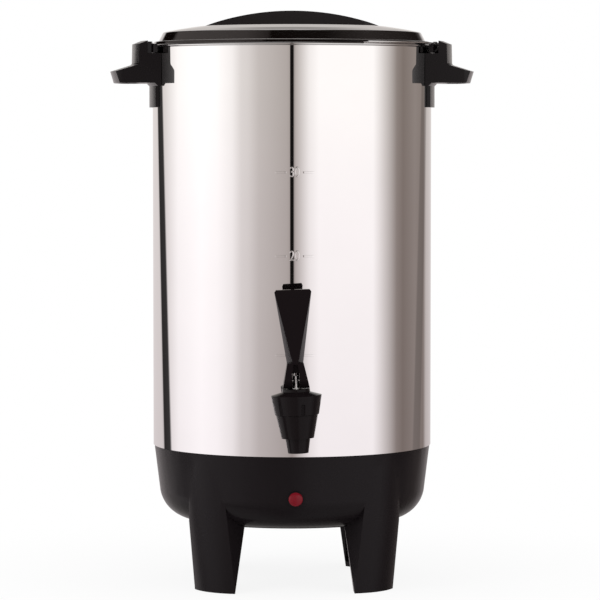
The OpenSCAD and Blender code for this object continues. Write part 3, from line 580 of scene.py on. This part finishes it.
def two_tones(tree, factor, dark, light):
    """A mix of two linear colours by a mask."""
    node = tree.nodes.new("ShaderNodeMix")
    node.data_type = "RGBA"
    node.inputs["A"].default_value = (*dark, 1)
    node.inputs["B"].default_value = (*light, 1)
    link(tree, factor, node.inputs["Factor"])
    return node.outputs["Result"]


def new_finish(name, group, settings):
    """A material with its Principled shader and one shared effect."""
    paint = bpy.data.materials.new(name)
    paint.use_nodes = True
    tree = paint.node_tree
    tree.nodes.clear()
    shader = tree.nodes.new("ShaderNodeBsdfPrincipled")
    out = tree.nodes.new("ShaderNodeOutputMaterial")
    link(tree, shader.outputs[0], out.inputs["Surface"])
    effect = tree.nodes.new("ShaderNodeGroup")
    effect.node_tree = group
    for label, value in settings.items():
        effect.inputs[label].default_value = value
    return paint, tree, shader, effect


def bump(tree, height, strength, distance, shader):
    """Relief from a height mask, with its distance in mm."""
    node = tree.nodes.new("ShaderNodeBump")
    node.inputs["Strength"].default_value = strength
    node.inputs["Distance"].default_value = distance * MM
    link(tree, height, node.inputs["Height"])
    link(tree, node.outputs[0], shader.inputs["Normal"])


def moulded(name, dark, light, rough, grain=0.02, size=1800.0, specular=0.5):
    """A moulded plastic or rubber: fine grain, slow drift of tone and sheen."""
    paint, tree, shader, effect = new_finish(name, GRAIN, {"Size": size})
    tint = two_tones(tree, effect.outputs["Tone"], dark, light)
    link(tree, tint, shader.inputs["Base Color"])
    link(tree, spread(tree, effect.outputs["Sheen spread"], *rough, 0.4, 0.95), shader.inputs["Roughness"])
    shader.inputs["Specular IOR Level"].default_value = specular
    bump(tree, effect.outputs["Height"], 0.35, grain, shader)
    return paint


def metal(name, dark, light, rough, across=900.0, along=6.0, depth=0.002):
    """A bare metal: brush lines, handling marks and a slight drift of tone."""
    paint, tree, shader, effect = new_finish(name, BRUSHING, {"Across": across, "Along": along})
    tint = two_tones(tree, effect.outputs["Haze"], dark, light)
    link(tree, tint, shader.inputs["Base Color"])
    shader.inputs["Metallic"].default_value = 1.0
    both = maths(tree, "MULTIPLY_ADD", effect.outputs["Lines"], 0.4, effect.outputs["Haze"])
    link(tree, spread(tree, both, *rough, 0.5, 0.95), shader.inputs["Roughness"])
    bump(tree, effect.outputs["Height"], 0.2, depth, shader)
    return paint


GRAIN = make_grain_group()
BRUSHING = make_brushing_group()
# Each finish has its darker and lighter linear tone and the range of its roughness
METALS = {
    "polished_steel": ((0.82, 0.81, 0.805), (0.86, 0.85, 0.845), (0.008, 0.022)),
    "lid_steel": ((0.80, 0.79, 0.78), (0.84, 0.83, 0.82), (0.04, 0.08)),
    "pressed_steel": ((0.36, 0.36, 0.36), (0.44, 0.44, 0.45), (0.30, 0.45)),
    "zinc_steel": ((0.55, 0.55, 0.54), (0.64, 0.64, 0.65), (0.22, 0.36)),
    "bright_rod": ((0.78, 0.78, 0.77), (0.86, 0.86, 0.85), (0.22, 0.34)),
    "cast_aluminium": ((0.52, 0.52, 0.53), (0.62, 0.62, 0.63), (0.38, 0.55)),
    "inner_aluminium": ((0.66, 0.66, 0.67), (0.76, 0.76, 0.77), (0.24, 0.38)),
}
MOULDINGS = {
    "black_moulding": ((0.0080, 0.0058, 0.0068), (0.0100, 0.0076, 0.0087), (0.20, 0.30)),
    "black_handles": ((0.0054, 0.0040, 0.0046), (0.0072, 0.0054, 0.0062), (0.16, 0.25)),
    "black_grip": ((0.0096, 0.0074, 0.0080), (0.0120, 0.0094, 0.0102), (0.16, 0.25)),
    "black_tap": ((0.0064, 0.0044, 0.0049), (0.0084, 0.0060, 0.0067), (0.07, 0.13)),
    "black_lever": ((0.0082, 0.0056, 0.0063), (0.0106, 0.0076, 0.0084), (0.10, 0.18)),
    "black_rubber": ((0.010, 0.010, 0.010), (0.016, 0.015, 0.015), (0.6, 0.75)),
    "clear_silicone": ((0.62, 0.62, 0.60), (0.72, 0.72, 0.69), (0.4, 0.5)),
    "white_moulding": ((0.66, 0.64, 0.58), (0.74, 0.72, 0.66), (0.4, 0.5)),
    "red_lens": ((0.150, 0.006, 0.012), (0.200, 0.010, 0.018), (0.05, 0.09)),
}
# What differs from the usual brushing or grain
SURFACES = {
    "cast_aluminium": {"along": 900, "depth": 0.01},
    "black_moulding": {"grain": 0.006, "size": 1500.0, "specular": 0.13},
    "black_handles": {"grain": 0.005, "specular": 0.20},
    "black_grip": {"grain": 0.005, "specular": 0.26},
    "black_tap": {"grain": 0.002, "specular": 0.12},
    "black_lever": {"grain": 0.002, "specular": 0.02},
    "black_rubber": {"specular": 0.3},
    "clear_silicone": {"grain": 0.004},
    "white_moulding": {"grain": 0.008},
    "red_lens": {"grain": 0.002, "specular": 0.20},
}
FINISHES = {
    name: make(name, *tones, **SURFACES.get(name, {}))
    for make, table in ((metal, METALS), (moulded, MOULDINGS))
    for name, tones in table.items()
}


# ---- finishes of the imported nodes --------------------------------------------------

SLOTS ={row["node"]: row["material_slot"] for row in frame["record"]["subparts"]}
BODY_OF = {node: body for body, group in frame["record"]["behaviour"]["bodies"].items() for node in group}
for label, node in nodes.items():
    node.data.materials.clear()
    node.data.materials.append(FINISHES[SLOTS[label]])


# ---- tank ----------------------------------------------------------------------------


def make_tank():
    """The drawn steel tank: rolled bead, floor with its pump well, and holes for tap and handles."""
    inner = TANK_R - TANK_WALL
    foot = SEAM_Z + 0.3
    floor_top = SEAM_Z + 5
    floor_low = floor_top - TANK_WALL
    well_r = 18.5
    well_deep = 10
    # rings just above and below the holes keep the cuts off the long plain wall
    rings = (99.5, 120.5, 322, 332)
    outline = [(TANK_R, z) for z in (foot, *rings)]
    outline += arc(TANK_R + 0.1, RIM_Z - 0.05, BEAD_R, -90, 240, 26)
    outline += [(inner, z) for z in (*reversed(rings), floor_top)]
    outline += [
        (well_r, floor_top), (well_r, floor_top - well_deep), (0, floor_top - well_deep),
        (0, floor_low - well_deep), (well_r + TANK_WALL, floor_low - well_deep),
        (well_r + TANK_WALL, floor_low), (inner, floor_low), (inner, foot), (TANK_R, foot),
    ]
    tank = lathe("tank_drawing", outline)
    nothing_selected()
    bpy.ops.mesh.primitive_cylinder_add(
        vertices=64, radius=TAP_HOLE_R * MM, depth=14 * MM, location=(0, -TANK_R * MM, TAP_Z * MM),
        rotation=(math.radians(90), 0, 0))
    cut(tank, bpy.context.object)
    for turn in HANDLE_TURNS:
        angle = math.radians(turn)
        side = Vector((math.cos(angle), math.sin(angle), 0)) * TANK_R * MM
        nothing_selected()
        bpy.ops.mesh.primitive_cylinder_add(
            vertices=32, radius=HANDLE_SCREW_R * MM, depth=8 * MM,
            rotation=(0, math.radians(90), angle), location=(side.x, side.y, HANDLE_SCREW_Z * MM))
        cut(tank, bpy.context.object)
    smooth(tank)
    place(tank, "root", "polished_steel", FINISHES["polished_steel"], "tank")


make_tank()


def bend_round(piece, radius, turn):
    """Wraps a flat relief that faces -Y round the tank and turns it to its place."""
    bend = piece.modifiers.new("bend", "SIMPLE_DEFORM")
    bend.deform_method = "BEND"
    bend.deform_axis = "Z"
    bend.angle = piece.dimensions.x / (radius * MM)
    apply(piece, bend)
    choose(piece)
    bpy.ops.transform.translate(value=(0, -radius * MM, 0))
    bpy.ops.object.origin_set(type="ORIGIN_CURSOR")
    piece.rotation_euler = (0, 0, math.radians(turn))
    finish_place(piece)


# Cups, and the height of the mark's middle; the marks stand a little to the left of the tap
MARKS = (("30", 266.2), ("20", 214.2), ("10", 152.4))
MARK_TURN = -0.5
MARK_SUNK = 0.02
DASH_SIZE = (6.9, 0.5, 1.2)
DASH_SIDE = 8.6


def level_mark(label, height):
    """Two figures with a dash on each side, pressed outwards in the steel."""
    nothing_selected()
    bpy.ops.object.text_add(location=(0, 0, 0), rotation=(math.radians(90), 0, 0))
    figures = bpy.context.object
    figures.data.body = label
    figures.data.align_x = "CENTER"
    figures.data.align_y = "CENTER"
    figures.data.size = 9.0 * MM
    figures.data.space_character = 0.95
    figures.data.offset = -0.12 * MM
    figures.data.extrude = 0.06 * MM
    figures.data.bevel_depth = 0.26 * MM
    figures.data.bevel_resolution = 3
    figures.data.resolution_u = 6
    figures.scale = (0.74, 1, 1)
    choose(figures)
    bpy.ops.object.convert(target="MESH")
    parts = [figures]
    for side in (-1, 1):
        nothing_selected()
        bpy.ops.mesh.primitive_cube_add(size=1, location=(side * DASH_SIDE * MM, 0, 0))
        dash = bpy.context.object
        dash.scale = Vector(DASH_SIZE) * MM
        finish_place(dash)
        edit(dash)
        bpy.ops.mesh.select_all(action="SELECT")
        bpy.ops.mesh.subdivide(number_cuts=6)
        done()
        round_edges(dash, 0.22, 3, 60)
        parts.append(dash)
    nothing_selected()
    for part in parts:
        part.select_set(True)
    bpy.context.view_layer.objects.active = figures
    bpy.ops.object.join()
    mark = bpy.context.object
    mark.name = "level_mark_" + label
    finish_place(mark)
    edit(mark)
    weld(0.01)
    done()
    bend_round(mark, TANK_R - MARK_SUNK, MARK_TURN)
    choose(mark)
    bpy.ops.transform.translate(value=(0, 0, height * MM))
    finish_place(mark)
    smooth(mark, 60)
    place(mark, "root", "polished_steel", FINISHES["polished_steel"])


for label, height in MARKS:
    level_mark(label, height)


# ---- lid -----------------------------------------------------------------------------


def solid_sheet(piece, wall):
    """Gives an open sheet its wall, on the side away from its faces."""
    thick = piece.modifiers.new("wall", "SOLIDIFY")
    thick.thickness = wall * MM
    thick.offset = -1
    thick.use_even_offset = True
    apply(piece, thick)


def arc_tab(name, inner, outer, low, high, middle, half):
    """A flat piece of a ring, in mm and degrees, with softened edges."""
    piece = draw_line(name, [(inner, low), (outer, low), (outer, high), (inner, high)])
    bpy.ops.mesh.select_all(action="SELECT")
    bpy.ops.mesh.edge_face_add()
    bpy.ops.mesh.spin(steps=24, angle=math.radians(2 * half), center=(0, 0, 0), axis=(0, 0, 1))
    weld()
    bpy.ops.mesh.fill_holes(sides=4)
    bpy.ops.mesh.normals_make_consistent(inside=False)
    done()
    piece.rotation_euler = (0, 0, math.radians(middle - half))
    finish_place(piece)
    round_edges(piece, 0.25, 2, 60)
    smooth(piece)
    return piece


def make_lid():
    """The pressed lid: flange, dark-banded side, shoulder, crest and the dish under the grip."""
    outline = eased([
        (89.85, 346.98), (89.22, 348.8, 0.12), (88.9, 348.95, 0.1), (86.25, 348.95, 0.15),
        (83.3, 354.75), (82.6, 355.05), (75.6, 356.5), (66.0, 358.05), (61.0, 358.75), (58.0, 358.9),
        (55.0, 358.5), (52.6, 356.6), (51.0, 353.1), (44.5, 352.5), (43.0, 350.4), (41.2, 341.9),
        (38.6, 339.5), (33.0, 338.9), (0, 338.9),
    ], 0.5)
    lid = lathe("pressed_lid", outline)
    solid_sheet(lid, 0.75)
    smooth(lid, 40)
    place(lid, "lid", "lid_steel", FINISHES["lid_steel"], "lid_shell")
    ring = lathe("locating_ring", eased(
        [(87.55, 341.0), (88.0, 341.0), (88.0, 348.3), (87.1, 348.3), (87.1, 341.0), (87.55, 341.0)], 0.3))
    smooth(ring)
    place(ring, "lid", "lid_steel", FINISHES["lid_steel"])
    for side, middle in (("right", 0), ("left", 180)):
        tab = arc_tab("lid_tab_" + side, 88.4, 95.2, 347.27, 348.05, middle, 20.5)
        place(tab, "lid", "lid_steel", FINISHES["lid_steel"])
    seal = lathe("soft_seal", eased([
        (88.6, 346.46), (88.95, 346.6), (89.0, 348.1), (88.2, 348.1), (88.2, 346.6), (88.6, 346.46),
    ], 0.2))
    smooth(seal)
    place(seal, BODY_OF["lid_seal"], "black_rubber", FINISHES["black_rubber"], "lid_seal")


make_lid()


# ---- mouldings and metal parts with softened edges -------------------------------

GRIP_DRAWN_UP = 0.955
LEVER_FOOT_Z = 150.6
LEVER_FOOT_WIDER = 2.6
TAP_FLANGE_SMALLER = 0.9
COVER_SCREW_TURNS = (60, 180, 300)
COVER_SCREW_CIRCLE = 54.4
GRIP_SCREW_HEAD_R = 2.8
HANDLE_SCREW_HEAD = 3.6
RECESS_SIZE = (3.2, 0.75, 1.5)


def pick(piece, test):
    """Selects the points of a piece whose place, in mm, passes a test, and opens it for editing."""
    edit(piece)
    bpy.ops.mesh.select_all(action="DESELECT")
    done()
    for vertex in piece.data.vertices:
        vertex.select = test(*(c / MM for c in vertex.co))
    edit(piece)


def adjust(node, piece):
    """Small changes to a copy: the grip's feet, the lever's front panel, the tap's flange."""
    if node == "lid_grip":
        # drawn up a little, so that it stands on the pressed ledge
        pick(piece, lambda x, y, z: True)
        bpy.ops.transform.resize(
            value=(1, 1, GRIP_DRAWN_UP), center_override=(0, 0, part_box(node)[1].z))
        done()
    if node == "tap_lever":
        # the panel runs down to the width of the channel below it
        pick(piece, lambda x, y, z: (
            abs(x + (z - TAP_Z) * LEAN) < 0.8 and y < TAP_Y - 4.2 and 149.4 < z < 151.6))
        bpy.ops.transform.resize(
            value=(LEVER_FOOT_WIDER, 1, 1), center_override=((TAP_Z - LEVER_FOOT_Z) * LEAN * MM, 0, 0))
        done()
    if node in ("tap_body", "tap_gasket"):
        # the flange at the tank is a little smaller, so that the bonnet hides it
        pick(piece, lambda x, y, z: y > TAP_Y + 24 and 10.5 < math.hypot(x, z - TAP_Z) < 13)
        bpy.ops.transform.resize(
            value=(TAP_FLANGE_SMALLER, 1, TAP_FLANGE_SMALLER), center_override=(0, 0, TAP_Z * MM))
        done()


def cross(piece, x, y, z, across, turn):
    """A cross recess at a place in mm, tipped by across about Y and then turned about Z."""
    for spin in (20, 110):
        nothing_selected()
        bpy.ops.mesh.primitive_cube_add(size=1)
        bar = bpy.context.object
        bar.scale = Vector(RECESS_SIZE) * MM
        bar.rotation_euler = (0, 0, math.radians(spin))
        finish_place(bar)
        bar.rotation_euler = (0, math.radians(across), math.radians(turn))
        bar.location = (x * MM, y * MM, z * MM)
        finish_place(bar)
        cut(piece, bar)


def recesses(node, piece):
    """The cross recess in each screw's head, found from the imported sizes."""
    if node == "cover_screws":
        for turn in COVER_SCREW_TURNS:
            angle = math.radians(turn)
            cross(piece, COVER_SCREW_CIRCLE * math.cos(angle), COVER_SCREW_CIRCLE * math.sin(angle),
                  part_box(node)[0].z / MM, 0, turn)
    if node == "grip_screws":
        low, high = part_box(node)
        for middle in (low.x / MM + GRIP_SCREW_HEAD_R, high.x / MM - GRIP_SCREW_HEAD_R):
            cross(piece, middle, 0, low.z / MM, 0, 0)
    if node == "handle_screws":
        inside = TANK_R - TANK_WALL - HANDLE_SCREW_HEAD
        for turn in HANDLE_TURNS:
            angle = math.radians(turn)
            cross(piece, inside * math.cos(angle), inside * math.sin(angle), HANDLE_SCREW_Z, 90, turn)


def soften(node, width, segments):
    """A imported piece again, with the small roundings that its edges have in the real part."""
    piece = merged_copy(node, node + "_piece")
    adjust(node, piece)
    recesses(node, piece)
    if width:
        round_edges(piece, width, segments)
    smooth(piece, 38)
    finish = OWN_FINISH.get(node, SLOTS[node])
    place(piece, BODY_OF[node], SLOTS[node], FINISHES[finish], node)
    if node == "tap_spring":
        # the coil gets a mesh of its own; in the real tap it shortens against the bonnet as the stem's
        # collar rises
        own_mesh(piece)


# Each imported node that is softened, with the width of its roundings and their segments
ROUNDINGS = (
    ("lid_grip", 0.8, 3), ("handle_left", 0.6, 2), ("handle_right", 0.6, 2), ("base_shell", 0.5, 2),
    ("tap_body", 0.3, 2), ("tap_lever", 0.35, 2), ("lid_ears", 0.25, 2), ("cord_gland", 0.4, 2),
    ("base_cover", 0.25, 2), ("pump_base", 0.2, 2), ("heater_plate", 0.3, 2),
    ("terminal_block", 0.3, 2), ("thermostat", 0.25, 2), ("thermal_fuse", 0.2, 2),
    ("heater_clamp", 0.2, 2), ("lamp_holder", 0.2, 2), ("tap_nut", 0.3, 2), ("stud_nuts", 0.2, 2),
    ("tap_gasket", 0.3, 2), ("tank_gasket", 0.3, 2), ("handle_washers", 0.12, 2),
    ("cover_screws", 0.15, 2), ("handle_screws", 0.15, 2), ("grip_screws", 0.15, 2),
    ("lid_rivets", 0.12, 2), ("tap_stem", 0.15, 2), ("lever_pin", 0.2, 2), ("seat_cup", 0.2, 2),
    ("tank_studs", 0.1, 1), ("heating_element", 0, 0), ("pump_tube", 0.1, 1),
    ("pump_valve", 0.1, 1), ("basket", 0.08, 1), ("spreader", 0.08, 1), ("tap_spring", 0, 0),
)
OWN_FINISH = {"lid_grip": "black_grip", "tap_lever": "black_lever"}
for node, width, segments in ROUNDINGS:
    soften(node, width, segments)


# ---- bonnet ------------------------------------------------------------------------------


def stand_on_tap(piece):
    """Moves a piece spun round Z to the tap's axis, which leans a little."""
    piece.rotation_euler = (0, math.radians(-TAP_LEAN), 0)
    piece.location = (0, TAP_Y * MM, TAP_Z * MM)
    finish_place(piece)


SLOT_R = 1.15
SLOT_LONG = 18
SLOT_TOP = 14.6
SLOT_OUT = 12.4
SLOT_LEAN = 10


def make_bonnet():
    """The tap's cap: a bored, tapered turning with six rounded slots up from its lower edge."""
    bonnet = lathe("slotted_bonnet", eased([
        (12.0, 7.1), (13.5, 7.1), (15.6, 19.0), (8.6, 21.0), (8.4, 23.0), (2.05, 23.0),
        (2.05, 13.2), (10.85, 13.2), (10.85, 7.1), (12.0, 7.1)], 0.3), 128)
    for turn in range(15, 375, 60):
        nothing_selected()
        bpy.ops.mesh.primitive_cylinder_add(vertices=24, radius=SLOT_R * MM, depth=SLOT_LONG * MM)
        slot = bpy.context.object
        round_end = slot.modifiers.new("round_end", "BEVEL")
        round_end.width = (SLOT_R - 0.05) * MM
        round_end.segments = 6
        apply(slot, round_end)
        slot.location = (0, 0, (SLOT_TOP - SLOT_LONG / 2) * MM)
        finish_place(slot)
        slot.rotation_euler = (0, math.radians(SLOT_LEAN), 0)
        slot.location = (SLOT_OUT * MM, 0, 0)
        finish_place(slot)
        slot.rotation_euler = (0, 0, math.radians(turn - 90))
        finish_place(slot)
        cut(bonnet, slot)
    stand_on_tap(bonnet)
    round_edges(bonnet, 0.18, 2, 40)
    smooth(bonnet, 38)
    place(bonnet, BODY_OF["tap_bonnet"], "black_tap", FINISHES["black_tap"], "tap_bonnet")


make_bonnet()


# ---- indicator lens --------------------------------------------------------------------


LENS_R = 4.45
LENS_RISE = 1.6
LENS_EDGE = 0.2
LENS_TILT = 7
LENS_OUT = 86.75


def on_base_front(piece):
    """Turns a piece that was spun round the axis to stand on the base's sloped front, under the tap."""
    low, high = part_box("indicator_lens")
    piece.rotation_euler = (math.radians(90 + LENS_TILT), 0, 0)
    piece.location = (0, -LENS_OUT * MM, (low.z + high.z) / 2)
    finish_place(piece)


def make_lens():
    """A domed red lens in a thin black ring; the ring is painted shade, standing for the contact shade
    round the lens.
    """
    dome = [
        (LENS_R * math.cos(math.radians(a)), LENS_EDGE + LENS_RISE * math.sin(math.radians(a)))
        for a in range(0, 90, 9)
    ]
    barrel = [(0, -7), (3.4, -7), (3.4, -0.3), (LENS_R, -0.3)]
    lens = lathe("domed_lens", barrel + dome + [(0, LENS_EDGE + LENS_RISE)], 96)
    on_base_front(lens)
    smooth(lens, 50)
    place(lens, "root", "red_lens", FINISHES["red_lens"], "indicator_lens")
    # painted shade: a thin black ring stands for the shade where the lens meets the base
    ring = lathe("lens_shade_ring", eased([
        (4.7, -0.3), (4.5, -0.3), (4.5, 0.32), (5.0, 0.3), (5.05, -0.3), (4.7, -0.3)], 0.2), 96)
    on_base_front(ring)
    smooth(ring, 50)
    place(ring, "root", "black_moulding", FINISHES["black_moulding"])


make_lens()
